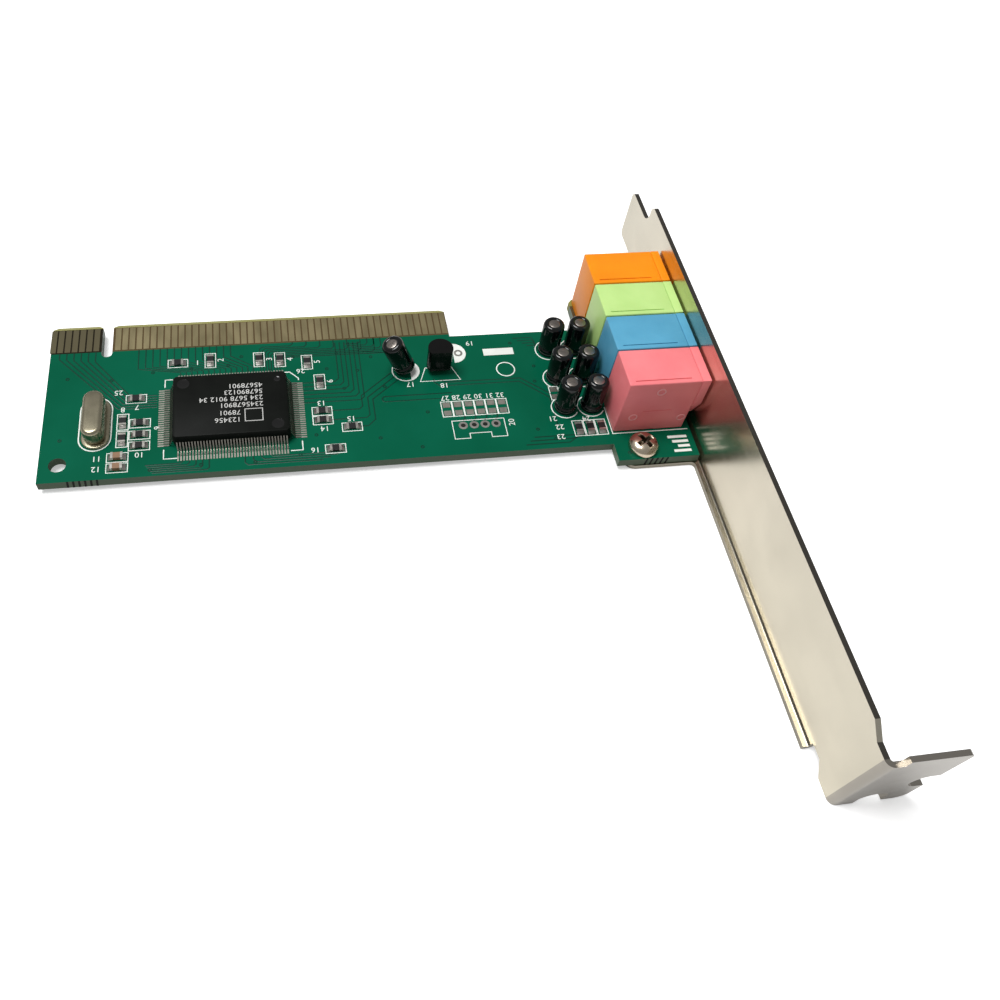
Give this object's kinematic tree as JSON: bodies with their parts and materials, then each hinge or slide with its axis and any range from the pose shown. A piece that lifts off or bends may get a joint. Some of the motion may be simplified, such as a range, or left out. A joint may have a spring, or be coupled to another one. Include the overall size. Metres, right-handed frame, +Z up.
{
  "type": "pci sound card",
  "caption": "Low PCI expansion card with an audio chip, coloured 3.5 mm jacks and a full-height slot bracket, lying flat with its components up.",
  "frame": {"origin": "middle of the overall box, at the level that the card rests on", "axes": "+X along the edge connector towards the bracket, +Y across the board towards the contact tips, +Z up from the component side"},
  "size_m": [0.1258, 0.12, 0.0184],
  "materials": {
    "board_green": "solder mask, semi-gloss",
    "gold": "thin gold plating",
    "bracket_steel": "bright nickel plating",
    "screw_steel": "nickel plating",
    "tin": "tinned",
    "pink_plastic": "moulded, satin",
    "blue_plastic": "moulded, satin",
    "green_plastic": "moulded, satin",
    "orange_plastic": "moulded, satin",
    "chip_black": "moulded, satin",
    "can_metal": "drawn can",
    "resistor_black": "glazed",
    "ceramic_tan": "plain ceramic",
    "sleeve_black": "shrunk sleeve"
  },
  "bodies": {
    "root": {"circuit_board": "board_green", "contacts_top": "gold", "bracket_plate": "bracket_steel", "bracket_tab": "bracket_steel", "bracket_ear": "bracket_steel", "bracket_screw": "screw_steel", "jack_pins": "tin", "jack_pink": "pink_plastic", "jack_blue": "blue_plastic", "jack_green": "green_plastic", "jack_orange": "orange_plastic", "chip_body": "chip_black", "chip_leads": "tin", "crystal_can": "can_metal", "crystal_pins": "tin", "capacitor_leads": "tin", "regulator_body": "chip_black", "regulator_leads": "tin", "resistor_bodies": "resistor_black", "ceramic_bodies": "ceramic_tan", "tinned_ends": "tin", "capacitor_1": "sleeve_black", "capacitor_2": "sleeve_black", "capacitor_3": "sleeve_black", "capacitor_4": "sleeve_black", "capacitor_5": "sleeve_black", "capacitor_6": "sleeve_black", "capacitor_7": "sleeve_black"}
  },
  "joints": []
}
